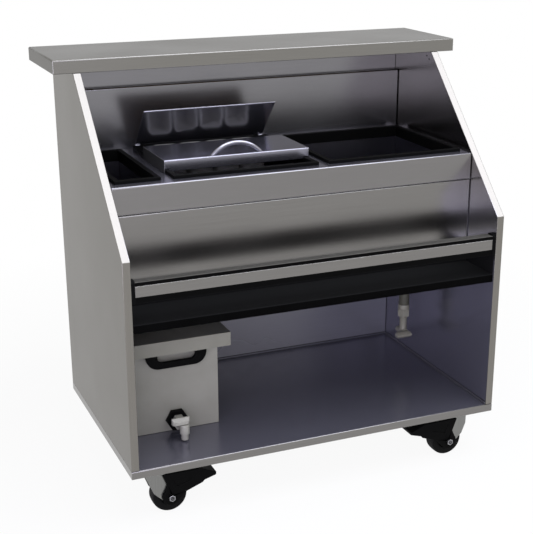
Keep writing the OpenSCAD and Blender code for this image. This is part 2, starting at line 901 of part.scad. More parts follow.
// A tap with its inlet along Y, its spout down and a seat for the lever's stem on top.
// Its hexagon starts at the origin and its body stands out from there by the given reach.
module tap(reach) {
    neck_y = -tap_hex_l - tap_cone_l;
    difference() {
        union() {
            rod_y(0, 0, 0, shank_l, shank_dia);
            rotate([90, 0, 0]) cylinder(h = tap_hex_l, d = hex_dia(tap_hex_af), $fn = 6);
            translate([0, -tap_hex_l, 0]) rotate([90, 0, 0])
                cylinder(h = tap_cone_l, d1 = tap_cone_dia, d2 = tap_neck_dia);
            rod_y(0, 0, -reach, neck_y, tap_neck_dia);
            translate([0, -reach, -tap_body_down])
                cylinder(h = tap_body_up + tap_body_down, d = tap_body_dia);
            translate([0, -reach, -spout_down]) cylinder(h = spout_down, d = spout_dia);
        }
        rod_y(0, 0, -reach, shank_l + over, tap_bore);
        translate([0, -reach, -spout_down - over])
            cylinder(h = spout_down + tap_body_up - stem_l + 2 * over, d = spout_bore);
        translate([0, -reach, tap_body_up - stem_l])
            cylinder(h = stem_l + over, d = stem_dia + 2 * turn_play);
    }
}

// The lever on top of a tap's body, with a ridge along it for the fingers, and its stem
module tap_lever(reach) {
    z = tap_body_up + lever_gap;
    x = [lever_short - lever_w, lever_short];
    half = lever_d / 2;
    translate([0, -reach, 0]) {
        intersection() {
            translate([0, 0, z]) linear_extrude(lever_h) rounded_flat(x, [-half, half], lever_r);
            along_x(x)
                polygon([[-half, z], [half, z], [half, z + lever_side], [lever_ridge / 2, z + lever_h],
                    [-lever_ridge / 2, z + lever_h], [-half, z + lever_side]]);
        }
        translate([0, 0, tap_body_up + play - stem_l]) cylinder(h = stem_l + lever_gap, d = stem_dia);
    }
}

// Where the tank's tap starts, in front of its nut
module at_tank() {
    unit() translate([tank_cx, tank_y - gasket_t - nut_t, tap_z]) children();
}

// Where the drain's tap starts, with its inlet upright
module at_drain() {
    unit() translate([drain_x, drain_y, pipe_z - bush_l]) rotate([90, 0, 0]) children();
}

module tank_tap() color(white) at_tank() tap(tank_reach);
module tank_tap_lever() color(white) at_tank() tap_lever(tank_reach);
module drain_tap() color(white) at_drain() tap(drain_reach);
module drain_tap_lever() color(white) at_drain() tap_lever(drain_reach);

// The pipe from the right bin to the tap
module drain_pipe() {
    top = deck_h - tub_h + tub_t;
    color(dark_steel) unit() translate([drain_x, drain_y, pipe_z]) difference() {
        cylinder(h = top - pipe_z, d = pipe_dia);
        translate([0, 0, -over]) cylinder(h = top - pipe_z + 2 * over, d = pipe_bore);
    }
}

// The bush that takes the tap in the end of the pipe
module drain_bush() {
    color(white) unit() translate([drain_x, drain_y, pipe_z]) difference() {
        union() {
            translate([0, 0, -bush_l]) cylinder(h = bush_l, d = bush_dia);
            cylinder(h = bush_in, d = pipe_bore - 2 * seat_play);
        }
        translate([0, 0, -bush_l - over])
            cylinder(h = bush_l + bush_in + 2 * over, d = shank_dia + 2 * seat_play);
    }
}

// Puts a caster's pieces, drawn with u along X and v along Y, at their corner of the unit
module at_caster(c) {
    side = c[0];
    end = c[1];
    y = end < 0 ? caster_y : body_d - caster_y;
    unit() translate([side * (body_w / 2 - caster_in), y, 0])
        mirror([side < 0 ? 0 : 1, 0, 0]) mirror([0, end < 0 ? 0 : 1, 0]) children();
}

// The top plates with their bearing races and kingpins
module caster_plates() {
    color(dark_steel) for (c = casters) at_caster(c) difference() {
        union() {
            block([-plate_l / 2, plate_l / 2], [-plate_d / 2, plate_d / 2], [-plate_t, 0]);
            translate([0, 0, -plate_t - race_h]) cylinder(h = race_h, d = race_dia);
            translate([0, 0, king_z]) cylinder(h = -plate_t - king_z, d = kingpin_dia);
            translate([0, 0, king_z]) cylinder(h = king_head_h, d = king_head_dia);
        }
        for (u = [-bolt_u, bolt_u], v = [-bolt_v, bolt_v])
            translate([u, v, -plate_t - over]) cylinder(h = plate_t + 2 * over, d = bolt_dia);
    }
}

// The bolts that hold the plates to the base rails
module caster_bolts() {
    color(dark_steel) for (c = casters) at_caster(c)
        for (u = [-bolt_u, bolt_u], v = [-bolt_v, bolt_v]) translate([u, v, -plate_t]) {
            translate([0, 0, -bolt_head_h])
                cylinder(h = bolt_head_h, d = hex_dia(bolt_head_af), $fn = 6);
            cylinder(h = bolt_l, d = bolt_dia - 2 * seat_play);
        }
}

// The wings of a fork's legs: what is left of the crown's skirt beside them
module fork_wings() {
    h = crown_z - crown_t - leg_knee_z;
    intersection() {
        translate([0, 0, leg_knee_z]) difference() {
            cylinder(h = h, r = crown_r);
            translate([0, 0, -over]) cylinder(h = h + 2 * over, r = crown_r - leg_t);
        }
        along_x([-crown_r - over, 0]) for (v = [-1, 1])
            polygon([[v * wing_v, wing_z], [v * leg_out, leg_knee_z], [v * leg_out, leg_knee_z + h],
                [v * wing_v, leg_knee_z + h]]);
    }
}

// A pressed fork: a round crown and two winged legs that lean back to the axle
module fork(c) {
    top = crown_z;
    color(steel) at_caster(c) difference() {
        union() {
            translate([0, 0, top - crown_t]) cylinder(h = crown_t, r = crown_r);
            fork_wings();
            for (v = [[leg_in, leg_out], [-leg_out, -leg_in]]) along_y(v) {
                polygon([[-leg_top, top], [-leg_top, leg_knee_z], [-leg_low, leg_low_z],
                    [trail - boss_r * cos(leg_lean), axle_z - boss_r * sin(leg_lean)], [trail, axle_z],
                    [trail + boss_r, axle_z], [leg_top, top]]);
                translate([trail, axle_z]) circle(boss_r);
            }
        }
        translate([0, 0, top - crown_t - over])
            cylinder(h = crown_t + 2 * over, d = kingpin_dia + 2 * turn_play);
        rod_y(trail, axle_z, -leg_out - over, leg_out + over, axle_dia + 2 * seat_play);
    }
}

// The axle bolt and its nut; a braked caster's is longer
module axle(c) {
    out = c[1] < 0 ? brake_out + play : leg_out;
    color(steel) at_caster(c) {
        rod_y(trail, axle_z, -out - axle_nut_t - axle_end, out + axle_nut_t, axle_dia);
        translate([trail, out + axle_nut_t, axle_z]) rotate([90, 30, 0])
            cylinder(h = axle_nut_t, d = hex_dia(axle_nut_af), $fn = 6);
        difference() {
            translate([trail, -out, axle_z]) rotate([90, 30, 0])
                cylinder(h = axle_nut_t, d = hex_dia(axle_nut_af), $fn = 6);
            rod_y(trail, axle_z, -out - axle_nut_t - over, over - out, axle_dia + 2 * seat_play);
        }
    }
}

// The wheel: a rubber tread with rounded shoulders on a hub with recessed sides
module wheel(c) {
    color(black) at_caster(c) translate([trail, 0, axle_z]) rotate([90, 0, 0]) difference() {
        rotate_extrude() {
            flat([0, wheel_dia / 2 - tyre_r], [-wheel_w / 2, wheel_w / 2]);
            flat([0, wheel_dia / 2], [tyre_r - wheel_w / 2, wheel_w / 2 - tyre_r]);
            for (v = [tyre_r - wheel_w / 2, wheel_w / 2 - tyre_r])
                translate([wheel_dia / 2 - tyre_r, v]) circle(tyre_r);
        }
        for (v = [-wheel_w / 2 - over, wheel_w / 2 - hub_recess])
            translate([0, 0, v]) difference() {
                cylinder(h = hub_recess + over, d = hub_dia);
                translate([0, 0, -over]) cylinder(h = hub_recess + 3 * over, d = hub_boss_dia);
            }
        translate([0, 0, -wheel_w]) cylinder(h = 2 * wheel_w, d = axle_dia + 2 * turn_play);
    }
}

// The foot brake: two cheeks that turn on the axle, joined by the tread
module brake(c) {
    color(black) at_caster(c) difference() {
        union() {
            for (v = [[brake_in, brake_out], [-brake_out, -brake_in]]) along_y(v)
                translate([trail, axle_z]) {
                    circle(brake_r);
                    polygon(brake_side);
                }
            along_y([-brake_out, brake_out]) translate([trail, axle_z]) polygon(brake_tread);
        }
        rod_y(trail, axle_z, -brake_out - over, brake_out + over, axle_dia + 2 * turn_play);
    }
}

module front_left_fork() fork(casters[0]);
module front_right_fork() fork(casters[1]);
module rear_left_fork() fork(casters[2]);
module rear_right_fork() fork(casters[3]);
module front_left_axle() axle(casters[0]);
module front_right_axle() axle(casters[1]);
module rear_left_axle() axle(casters[2]);
module rear_right_axle() axle(casters[3]);
module front_left_wheel() wheel(casters[0]);
module front_right_wheel() wheel(casters[1]);
module rear_left_wheel() wheel(casters[2]);
module rear_right_wheel() wheel(casters[3]);
module front_left_brake() brake(casters[0]);
module front_right_brake() brake(casters[1]);

bar_top();
bar_top_core();
left_side_panel();
right_side_panel();
guest_panel();
upper_back_panel();
lower_back_panel();
base_pan();
base_rails();
work_deck();
splash_panel();
bin_front_panel();
bin_bottom_panel();
bin_insulation();
left_well_rim();
middle_bin_rim();
right_bin_rim();
left_well_tub();
middle_bin_tub();
right_bin_tub();
condiment_holder();
condiment_pans();
condiment_lid();
lid_hinge_pin();
ice_cover();
ice_cover_handle();
rail_bar();
rail_strip();
rail_end_caps();
bottle_tray();
waste_tank();
tank_lid();
tank_handle();
tank_fitting();
tank_fitting_nut();
tank_gasket();
tank_tap();
tank_tap_lever();
drain_pipe();
drain_bush();
drain_tap();
drain_tap_lever();
caster_plates();
caster_bolts();
front_left_fork();
front_right_fork();
rear_left_fork();
rear_right_fork();
front_left_axle();
front_right_axle();
rear_left_axle();
rear_right_axle();
front_left_wheel();
front_right_wheel();
rear_left_wheel();
rear_right_wheel();
front_left_brake();
front_right_brake();
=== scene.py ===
"""Mobile bar unit: the finishes, the finer pieces, the studio and the camera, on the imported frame."""
from math import pi, radians

import bmesh
import bpy
import numpy as np
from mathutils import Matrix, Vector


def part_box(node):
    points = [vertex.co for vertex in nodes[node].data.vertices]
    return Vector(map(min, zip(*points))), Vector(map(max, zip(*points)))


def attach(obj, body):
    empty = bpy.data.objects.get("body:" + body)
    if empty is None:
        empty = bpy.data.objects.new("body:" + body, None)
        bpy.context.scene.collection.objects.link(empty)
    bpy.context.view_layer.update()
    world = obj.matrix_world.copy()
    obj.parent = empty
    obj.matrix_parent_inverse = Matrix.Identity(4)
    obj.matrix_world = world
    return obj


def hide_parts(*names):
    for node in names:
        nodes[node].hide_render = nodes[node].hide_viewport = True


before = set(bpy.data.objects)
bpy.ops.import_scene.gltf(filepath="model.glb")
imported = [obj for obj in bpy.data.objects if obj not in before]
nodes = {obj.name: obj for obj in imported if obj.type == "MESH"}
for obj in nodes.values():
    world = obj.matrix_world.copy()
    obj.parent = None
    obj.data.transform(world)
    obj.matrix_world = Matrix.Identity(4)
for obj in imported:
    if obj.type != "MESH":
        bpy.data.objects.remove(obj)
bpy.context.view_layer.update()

# Lengths are in millimetres, in the row's frame. Only the studio, at the end, is in metres.
MM = 0.001  # metres in a millimetre
CORNERS = ("front_left", "front_right", "rear_left", "rear_right")
AXLE = np.array([437.5, 0.0, 50.0])  # the right-hand casters' axle, apart from its place along the depth
CASTER_Y = {"front": -282.0, "rear": 224.0}  # where the casters stand along the depth

# Where the steel's painted light and shade change. These places are matched to the picture.
INSIDE_X = 536.0  # just past the side panels' inner faces
INSIDE_Y = -353.0  # just behind the unit's front plane
INSIDE_Z = 168.5  # just under the top of the cabinet's floor
BINS_Z = 622.0  # the underside of the bins, which closes the open base
INSIDE_METAL = 0.7  # how metallic the steel of the open base is under the bins, where its tones are a painted violet reflection
PAINTED_LIGHT_Z = (640.0, 860.0)  # between these heights the painted light beside the rail fades out
# the painted light's tone
PAINTED_LIGHT_TONE = "#d2d1dc"
FOOT_LINE = (170.3, 1.1)  # the painted shade line in the fold at the foot of the floor's upstand: its middle and half its height
LIP_LINE = (177.0, 1.4)  # the painted shadow line over the top of the upstand, likewise
SHADE_TONE, SHADE_ROUGHNESS = "#08080a", 0.9  # the painted shade's tone and roughness; it isn't metallic either

# What the finishes have in common
BELT_LINE, BELT_GAP, BELT_DEPTH = 150.0, 3.0, 0.4  # the belt's lines: length, spacing and depth as drawn
STEEL_CLOUD, PLASTIC_CLOUD = 300.0, 60.0  # size of the patches over which a finish drifts
ROUGHNESS_DRIFT = 0.03  # how far steel's roughness drifts either way
GRIT_DEPTH = 0.3
STEEL_EDGE, PLASTIC_EDGE = 2.0, 1.5  # radius over which edges are rounded, and made paler as wear and a painted highlight
FOLD_SHADE = 3.0  # how near a fold, and where parts meet, the sheet is painted darker, as shade
# The tone that edges are made paler towards: wear and a painted highlight
RUBBED_AND_SHEEN_TONE = "#d2d0cd"
SPREAD = {"From Min": 0.3, "From Max": 0.7}  # the span that most of a noise's values lie in
WEAR_AND_SHEEN = {"From Min": 0.99, "From Max": 0.85}  # cosine of the turn at an edge, from a plain surface to the palest edge, wear and painted highlight
RAYS = 4  # samples for edges and folds

# How new pieces are joined and shaded
MERGE = 0.001  # points of a skin that are nearer than this are one
SMOOTH_TO = radians(40)  # the sharpest turn that is shaded smooth


def linear(colour):
    """sRGB hex to linear RGBA: a channel is c / 12.92 up to 0.04045, else ((c + 0.055) / 1.055) ** 2.4."""
    c = np.array([int(colour[i:i + 2], 16) / 255 for i in (1, 3, 5)])
    return (*np.where(c <= 0.04045, c / 12.92, ((c + 0.055) / 1.055) ** 2.4), 1.0)


def feed(tree, value, socket):
    """Sets an input to a number or colour, or links it to an output or to a node's first live output."""
    if isinstance(value, bpy.types.Node):
        value = next(output for output in value.outputs if output.enabled)
    if isinstance(value, bpy.types.NodeSocket):
        tree.links.new(value, socket)
    else:
        socket.default_value = value


def add(tree, kind, sockets=None, **settings):
    """Adds a node with its settings; sockets maps each input to what feeds it."""
    node = tree.nodes.new(kind)
    for name, value in settings.items():
        setattr(node, name, value)
    for name, value in (sockets or {}).items():
        feed(tree, value, node.inputs[name])
    return node


def finish_material(name, sockets):
    """A material with one Principled shader; returns it with its tree, shader and Object coordinates."""
    material = bpy.data.materials.new(name)
    material.use_nodes = True
    tree = material.node_tree
    tree.nodes.clear()
    shader = add(tree, "ShaderNodeBsdfPrincipled", sockets)
    add(tree, "ShaderNodeOutputMaterial", {"Surface": shader})
    return material, tree, shader, add(tree, "ShaderNodeTexCoord").outputs["Object"]


def worn_and_sheen_edges(tree, radius, most):
    """How far edges are made paler, from 0 to most, as wear and a painted highlight, and the surface's normal
    with its edges rounded.

    The normal is rounded over a radius in millimetres. The further it turns from the true one, the paler the
    edge is made, as wear and a painted highlight.
    """
    rounded = add(tree, "ShaderNodeBevel", {"Radius": radius * MM}, samples=RAYS)
    true = add(tree, "ShaderNodeNewGeometry").outputs["Normal"]
    facing = add(tree, "ShaderNodeVectorMath", {0: rounded, 1: true}, operation="DOT_PRODUCT")
    return add(tree, "ShaderNodeMapRange", {"Value": facing, **WEAR_AND_SHEEN, "To Max": most}), rounded


def tone_above(tree, place, colour, height, tone):
    """The colour, with another tone above a height in millimetres: each use paints a lighter top, as painted
    light.
    """
    up = add(tree, "ShaderNodeSeparateXYZ", {"Vector": place}).outputs["Z"]
    above = add(tree, "ShaderNodeMath", {0: up, 1: height * MM}, operation="GREATER_THAN")
    return add(tree, "ShaderNodeMix", {"Factor": above, "A": colour, "B": linear(tone)}, data_type="RGBA")


def satin_stainless(name, outside, inside=None, grain="X", roughness=0.24, metal=1.0, rim=1.0,
                    rubbing_and_sheen=0.4, ends=None, top=None):
    """Stainless sheet, cold rolled and ground with a satin belt: a soft grey mirror with faint lines.

    outside and inside are pairs of a dark and a pale tone, and the lines run along grain. Real ones are a
    tenth of a millimetre apart; they are drawn 3 mm apart and 150 mm long, so that they just show. Edges are
    made paler, by rubbing_and_sheen at most, as wear and as a painted highlight, and in creases and where
    parts meet the sheet is painted darker, as shade. rim dims the shine at a glancing angle.

    The rest is painted light and shade, matched to the picture by place. A sheet with inside tones has them
    within the open base, as a painted violet reflection that is less metallic under the bins, and has painted
    light beside the rail. ends gives the middle of a sheet and the distance from it past which the sheet is
    painted dark, as shade. Both have the painted shadow line over the upstand, and the first also has the
    painted shade line in the fold at its foot. top gives a height and the tone above it, a painted lighter
    top.
    """
    material, tree, shader, place = finish_material(
        name, {"Metallic": metal, "Specular Tint": (rim, rim, rim, 1.0)})
    stretch = [1 / ((BELT_LINE if axis == grain else BELT_GAP) * MM) for axis in "XYZ"]
    belt = add(tree, "ShaderNodeMapping", {"Vector": place, "Scale": stretch})
    lines = add(tree, "ShaderNodeTexNoise", {"Vector": belt, "Scale": 1.0, "Detail": 3.0, "Roughness": 0.6})
    clouds = add(tree, "ShaderNodeTexNoise", {"Vector": place, "Scale": 1 / (STEEL_CLOUD * MM),
                                              "Detail": 2.0})
    share = add(tree, "ShaderNodeMapRange", {"Value": lines, **SPREAD})
    colour = add(tree, "ShaderNodeMix", {"Factor": share, "A": linear(outside[0]), "B": linear(outside[1])},
                 data_type="RGBA")
    rough = add(tree, "ShaderNodeMapRange", {"Value": clouds, **SPREAD, "To Min": roughness - ROUGHNESS_DRIFT,
                                             "To Max": roughness + ROUGHNESS_DRIFT})
    if top:
        colour = tone_above(tree, place, colour, *top)
    if inside or ends:
        shine = metal
        middle, half = ends or (0.0, None)
        spot = add(tree, "ShaderNodeSeparateXYZ", {"Vector": place}).outputs
        across = add(tree, "ShaderNodeMath", {0: spot["X"], 1: middle * MM}, operation="SUBTRACT")
        across = add(tree, "ShaderNodeMath", {0: across}, operation="ABSOLUTE")
        # The painted shadow line over the upstand
        dark = add(tree, "ShaderNodeMath", {0: spot["Z"], 1: LIP_LINE[0] * MM, 2: LIP_LINE[1] * MM},
                   operation="COMPARE")
    if inside:
        held = 1.0
        for value, limit, side in ((across, INSIDE_X, "LESS_THAN"), (spot["Y"], INSIDE_Y, "GREATER_THAN"),
                                   (spot["Z"], INSIDE_Z, "GREATER_THAN")):
            within = add(tree, "ShaderNodeMath", {0: value, 1: limit * MM}, operation=side)
            held = add(tree, "ShaderNodeMath", {0: within, 1: held}, operation="MULTIPLY")
        # Painted light beside the rail, a paler tone which fades out upwards
        fading = add(tree, "ShaderNodeMapRange", {"Value": spot["Z"], "From Min": PAINTED_LIGHT_Z[0] * MM,
                                                  "From Max": PAINTED_LIGHT_Z[1] * MM,
                                                  "To Min": 1.0, "To Max": 0.0})
        painted_light = add(tree, "ShaderNodeMath", {0: fading, 1: held}, operation="MULTIPLY")
        colour = add(tree, "ShaderNodeMix", {"Factor": painted_light, "A": colour, "B": linear(PAINTED_LIGHT_TONE)},
                     data_type="RGBA")
        # Under the bins, a painted violet reflection that is less metallic, with the painted shade line in the
        # fold at the upstand's foot
        low = add(tree, "ShaderNodeMath", {0: spot["Z"], 1: BINS_Z * MM}, operation="LESS_THAN")
        held = add(tree, "ShaderNodeMath", {0: low, 1: held}, operation="MULTIPLY")
        dull = add(tree, "ShaderNodeMix", {"Factor": share, "A": linear(inside[0]), "B": linear(inside[1])},
                   data_type="RGBA")
        colour = add(tree, "ShaderNodeMix", {"Factor": held, "A": colour, "B": dull}, data_type="RGBA")
        shine = add(tree, "ShaderNodeMapRange", {"Value": held, "To Min": metal, "To Max": INSIDE_METAL})
        foot = add(tree, "ShaderNodeMath", {0: spot["Z"], 1: FOOT_LINE[0] * MM, 2: FOOT_LINE[1] * MM},
                   operation="COMPARE")
        dark = add(tree, "ShaderNodeMath", {0: foot, 1: dark}, operation="MAXIMUM")
        dark = add(tree, "ShaderNodeMath", {0: dark, 1: held}, operation="MULTIPLY")
    # Painted shade past the ends
    if ends:
        past = add(tree, "ShaderNodeMath", {0: across, 1: half * MM}, operation="GREATER_THAN")
        dark = add(tree, "ShaderNodeMath", {0: past, 1: dark}, operation="MAXIMUM")
    # Painted shade: the lines and the ends are painted dark, rough and not metallic
    if inside or ends:
        colour = add(tree, "ShaderNodeMix", {"Factor": dark, "A": colour, "B": linear(SHADE_TONE)},
                     data_type="RGBA")
        rough = add(tree, "ShaderNodeMapRange", {"Value": dark, "To Min": rough, "To Max": SHADE_ROUGHNESS})
        unshaded_metal = add(tree, "ShaderNodeMapRange", {"Value": dark, "To Min": shine, "To Max": 0.0})
        feed(tree, unshaded_metal, shader.inputs["Metallic"])
    # Edges made paler, as wear and a painted highlight
    worn_and_sheen, rounded = worn_and_sheen_edges(tree, STEEL_EDGE, rubbing_and_sheen)
    rubbed_and_sheen = add(tree, "ShaderNodeMix", {"Factor": worn_and_sheen, "A": colour, "B": linear(RUBBED_AND_SHEEN_TONE)},
                 data_type="RGBA")
    # Painted shade in creases and where parts meet: ambient occlusion darkens the colour
    painted_fold_shade = add(tree, "ShaderNodeAmbientOcclusion", {"Color": rubbed_and_sheen, "Distance": FOLD_SHADE * MM},
                samples=RAYS)
    bump = add(tree, "ShaderNodeBump", {"Height": lines, "Strength": 0.04, "Distance": BELT_DEPTH * MM,
                                        "Normal": rounded})
    feed(tree, painted_fold_shade, shader.inputs["Base Color"])
    feed(tree, rough, shader.inputs["Roughness"])
    feed(tree, bump, shader.inputs["Normal"])
    return material


def moulded_plastic(name, dark, pale, roughness, grit=1.2, strength=0.12, gloss=0.5, scuffed_and_sheen=None, top=None):
    """A moulded, extruded, cast or coated surface: an even colour, with a fine grain that breaks up the shine.

    grit is the grain's size in millimetres, drawn a few times coarser than life so that it shows, and
    strength is how far it stands out. scuffed_and_sheen is the tone that edges are made paler towards, as
    wear and a painted highlight. top gives a height and the tone above it, a painted lighter top.
    """
    material, tree, shader, place = finish_material(
        name, {"Roughness": roughness, "Specular IOR Level": gloss})
    grains = add(tree, "ShaderNodeTexNoise", {"Vector": place, "Scale": 1 / (grit * MM), "Detail": 2.0})
    clouds = add(tree, "ShaderNodeTexNoise", {"Vector": place, "Scale": 1 / (PLASTIC_CLOUD * MM),
                                              "Detail": 3.0})
    share = add(tree, "ShaderNodeMapRange", {"Value": clouds, **SPREAD})
    colour = add(tree, "ShaderNodeMix", {"Factor": share, "A": linear(dark), "B": linear(pale)},
                 data_type="RGBA")
    if top:
        colour = tone_above(tree, place, colour, *top)
    # Edges made paler, as wear and a painted highlight
    if scuffed_and_sheen:
        worn_and_sheen, _ = worn_and_sheen_edges(tree, PLASTIC_EDGE, 0.5)
        colour = add(tree, "ShaderNodeMix", {"Factor": worn_and_sheen, "A": colour, "B": linear(scuffed_and_sheen)},
                     data_type="RGBA")
    bump = add(tree, "ShaderNodeBump", {"Height": grains, "Strength": strength, "Distance": GRIT_DEPTH * MM})
    feed(tree, colour, shader.inputs["Base Color"])
    feed(tree, bump, shader.inputs["Normal"])
    return material


# Stainless steel, ground to a satin: grey sheet that mirrors softly, drawn out along its lines. The tones of
# each place are matched to the picture and are painted light and reflection: warm outside, a painted violet
# reflection in the open base, painted paler on the cover and the deck.
# BASE_TONES are the open base's painted violet reflection
BASE_TONES = ("#7b7a85", "#7f7e89")
OUTER_TONES = ("#7e7b76", "#827f7a")
steel_panel = satin_stainless("stainless_satin_upright", OUTER_TONES, BASE_TONES, "Z", rim=0.74, rubbing_and_sheen=0.15)
steel_guest = satin_stainless("stainless_satin_guest_side", OUTER_TONES, grain="Z", rim=0.74, rubbing_and_sheen=0.15)
steel_base = satin_stainless("stainless_satin_base", ("#7d7b79", "#817f7d"), BASE_TONES)
steel_top = satin_stainless("stainless_satin_bar_top", ("#7d7b77", "#817f7b"), rim=0.6)
steel_long = satin_stainless("stainless_satin_lengthwise", ("#7d7b79", "#817f7d"))
steel_wall = satin_stainless("stainless_satin_splash", ("#7d7c7f", "#818083"), metal=0.95)
# The deck is painted a paler violet above 899 mm, on its top, as painted light
steel_deck = satin_stainless("stainless_satin_deck", ("#7c7a79", "#807e7d"), metal=0.94,
                             top=(899.0, "#a4a3ae"))
steel_tub = satin_stainless("stainless_satin_deep_drawn", ("#72717a", "#76757e"), grain="Z", roughness=0.3)
# The cover is painted paler, and painted dark past its ends, at its sides, as shade
steel_cover = satin_stainless("stainless_satin_cover", ("#94939d", "#9897a1"), roughness=0.2, metal=0.95,
                              ends=(-145.0, 211.6))
# The back panels' paler, less metallic tone is painted light; past their ends by the side panels they are
# painted dark, as shade
steel_back = satin_stainless("stainless_satin_painted_pale", ("#97969c", "#9b9aa0"), roughness=0.26, metal=0.6,
                             ends=(0.0, 533.2))
# Zinc plate on pressed steel: a plain grey, blurred shine, clearer and paler on the axles. Black oxide: dark
# grey with a dull metal shine.
zinc = satin_stainless("steel_zinc_plated", ("#7d7d7b", "#848482"), grain="Z", roughness=0.32, rubbing_and_sheen=0.2)
bright_zinc = satin_stainless("steel_bright_zinc_plated", ("#8c8c90", "#96969a"), grain="Z", roughness=0.28,
                              rubbing_and_sheen=0.2)
black_oxide = satin_stainless("steel_black_oxide", ("#2a2a2c", "#343436"), grain="Z", roughness=0.4,
                              rubbing_and_sheen=0.1)
# Black ABS mouldings: deep black with hardly a shine, greyer along the edges, as wear and a painted highlight
black_moulding = moulded_plastic("abs_black_moulded", "#040404", "#060606", roughness=0.55, gloss=0.05,
                                 scuffed_and_sheen="#1c1c1c")
# The extruded PVC rail: smooth and black, its top painted grey, as a painted sheen
black_rail = moulded_plastic("pvc_black_extruded", "#030303", "#050505", roughness=0.4, grit=2.0,
                             strength=0.03, gloss=0.04, scuffed_and_sheen="#262626", top=(691.3, "#5e5c56"))
# Powder coat on the bottle tray: matt black with a fine orange peel, painted greyer from the tray's floor
# upwards, as painted light
black_paint = moulded_plastic("steel_black_powder_coated", "#030303", "#050505", roughness=0.5, grit=0.9,
                              strength=0.2, gloss=0.02, top=(574.5, "#191919"))
# Moulded polyethylene, acetal, polypropylene and polycarbonate: waxy greys and whites, the first three with
# soft pale edges, as wear and a painted highlight
tank_grey = moulded_plastic("polyethylene_grey_moulded", "#8b897d", "#918f83", roughness=0.45, grit=2.0,
                            strength=0.08, scuffed_and_sheen="#9a998b")
lid_grey = moulded_plastic("polyethylene_warm_grey_moulded", "#7f7d70", "#858376", roughness=0.45, grit=2.0,
                           strength=0.08, scuffed_and_sheen="#8f8e7e")
tap_white = moulded_plastic("acetal_white_moulded", "#9a988c", "#9e9c90", roughness=0.35, grit=0.8,
                            strength=0.05, scuffed_and_sheen="#a3a196")
drain_white = moulded_plastic("polypropylene_white_moulded", "#928f80", "#969384", roughness=0.35, grit=0.8,
                              strength=0.05, scuffed_and_sheen="#a29e94")
pan_grey = moulded_plastic("polycarbonate_grey_moulded", "#c4c2bc", "#c8c6c0", roughness=0.25, grit=1.0,
                           strength=0.04)
# The extruded PVC drain pipe: dark grey and smooth
pipe_grey = moulded_plastic("pvc_dark_grey_extruded", "#565549", "#5c5b4f", roughness=0.35, grit=1.5,
                            strength=0.05)
# Moulded rubber: dull black, and greyer and rougher on the tread, where it has rolled
rubber = moulded_plastic("rubber_black_moulded", "#060606", "#080808", roughness=0.6, grit=1.0, strength=0.2,
                         gloss=0.1)
tread_rubber = moulded_plastic("rubber_black_worn_tread", "#1a1a19", "#232322", roughness=0.75, grit=1.0,
                               strength=0.3, gloss=0.1)
# Cast foam round the tubs and the pressed board in the bar top: matt and grainy
foam = moulded_plastic("polyurethane_foam_cast", "#c6c5c4", "#d0cfce", roughness=0.9, grit=3.0, strength=0.4)
board = moulded_plastic("chipboard_pressed", "#a98a5f", "#b99a6e", roughness=0.8, grit=2.5, strength=0.3)

coats = {
    steel_panel: ["left_side_panel", "right_side_panel"],
    steel_guest: ["guest_panel"],
    steel_base: ["base_pan"],
    steel_top: ["bar_top"],
    steel_long: ["bin_front_panel", "rail_strip"],
    steel_deck: ["work_deck"],
    steel_wall: ["upper_back_panel", "splash_panel"],
    steel_cover: ["ice_cover", "ice_cover_handle", "condiment_lid"],
    steel_tub: ["left_well_tub", "middle_bin_tub", "right_bin_tub"],
    steel_back: ["lower_back_panel", "bin_bottom_panel"],
    black_oxide: ["lid_hinge_pin"],
    zinc: ["base_rails", "caster_plates", "caster_bolts", *(corner + "_fork" for corner in CORNERS)],
    bright_zinc: [corner + "_axle" for corner in CORNERS],
    black_moulding: ["left_well_rim", "middle_bin_rim", "right_bin_rim", "condiment_holder", "rail_end_caps",
                     "tank_handle", "tank_fitting", "tank_fitting_nut", "front_left_brake",
                     "front_right_brake"],
    black_rail: ["rail_bar"],
    black_paint: ["bottle_tray"],
    tank_grey: ["waste_tank"],
    lid_grey: ["tank_lid"],
    tap_white: ["tank_tap", "tank_tap_lever"],
    drain_white: ["drain_tap", "drain_tap_lever", "drain_bush"],
    pan_grey: ["condiment_pans"],
    pipe_grey: ["drain_pipe"],
    rubber: ["tank_gasket"],
    foam: ["bin_insulation"],
    board: ["bar_top_core"],
}
for material, names in coats.items():
    for name in names:
        mesh = nodes[name].data
        mesh.materials.clear()
        mesh.materials.append(material)

# Edges broken by handling or by the mould: radius in millimetres and the pieces that have it. The forks have
# none, because it draws lines across their flat legs.
BROKEN_FROM = radians(35)  # the least turn of an edge that is broken
WELD = 0.01  # CAD triangles are joined within this distance first
broken_edges = {
    0.4: ["base_pan", "work_deck", "splash_panel", "bin_front_panel", "condiment_lid", "rail_strip",
          "bottle_tray", "tank_fitting", "drain_pipe", "caster_plates", "caster_bolts", "upper_back_panel",
          "lower_back_panel"],
    0.7: ["ice_cover", "rail_bar", "tank_tap", "drain_tap", "drain_bush", "tank_fitting_nut",
          *(corner + "_axle" for corner in CORNERS)],
    1.2: ["bar_top", "left_side_panel", "right_side_panel", "guest_panel", "left_well_rim", "middle_bin_rim",
          "right_bin_rim", "rail_end_caps", "tank_tap_lever", "drain_tap_lever", "waste_tank"],
    2.0: ["tank_lid", "tank_handle", "front_left_brake", "front_right_brake"],
}
for radius, names in broken_edges.items():
    for name in names:
        weld = nodes[name].modifiers.new("joined", "WELD")
        weld.merge_threshold = WELD * MM
        edge = nodes[name].modifiers.new("broken_edges", "BEVEL")
        edge.width, edge.segments = radius * MM, 2
        edge.limit_method, edge.angle_limit = "ANGLE", BROKEN_FROM
        edge.use_clamp_overlap = False


